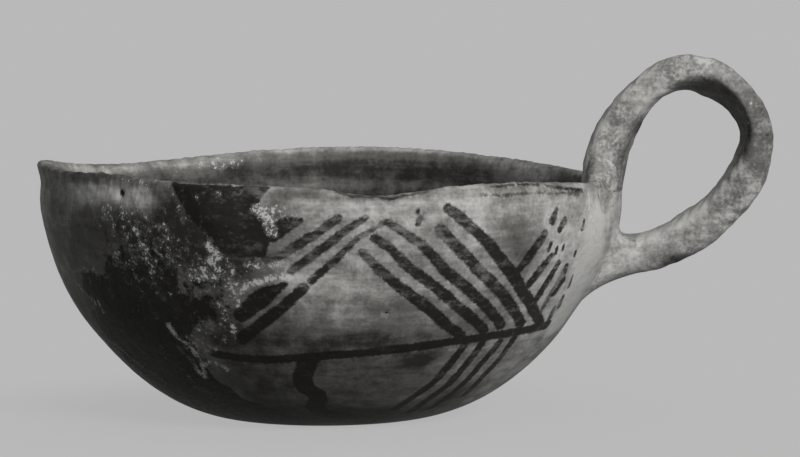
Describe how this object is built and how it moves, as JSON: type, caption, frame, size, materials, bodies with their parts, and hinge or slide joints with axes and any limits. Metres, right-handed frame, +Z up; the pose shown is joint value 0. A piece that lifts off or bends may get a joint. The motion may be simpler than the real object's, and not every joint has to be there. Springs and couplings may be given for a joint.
{
  "type": "handled bowl",
  "caption": "Handmade round-bottomed pottery bowl with an uneven rim and a high loop strap handle that rises above the lip, dark line pattern on pale slip, for dipping and serving.",
  "frame": {"origin": "middle of the small flat that the bowl rests on", "axes": "+Z up out of the bowl's mouth, +X about towards the handle, -Y towards the painted side shown"},
  "size_m": [0.1884, 0.1506, 0.0941],
  "materials": {
    "painted_slip": "matt",
    "handle_slip": "matt"
  },
  "bodies": {
    "root": {"base_cup": "painted_slip", "wall_coil_1": "painted_slip", "wall_coil_2": "painted_slip", "rim_coil": "painted_slip", "handle_strap": "handle_slip", "upper_root_luting": "handle_slip", "lower_root_luting": "handle_slip", "tenon_clinch_pad": "painted_slip"}
  },
  "joints": []
}
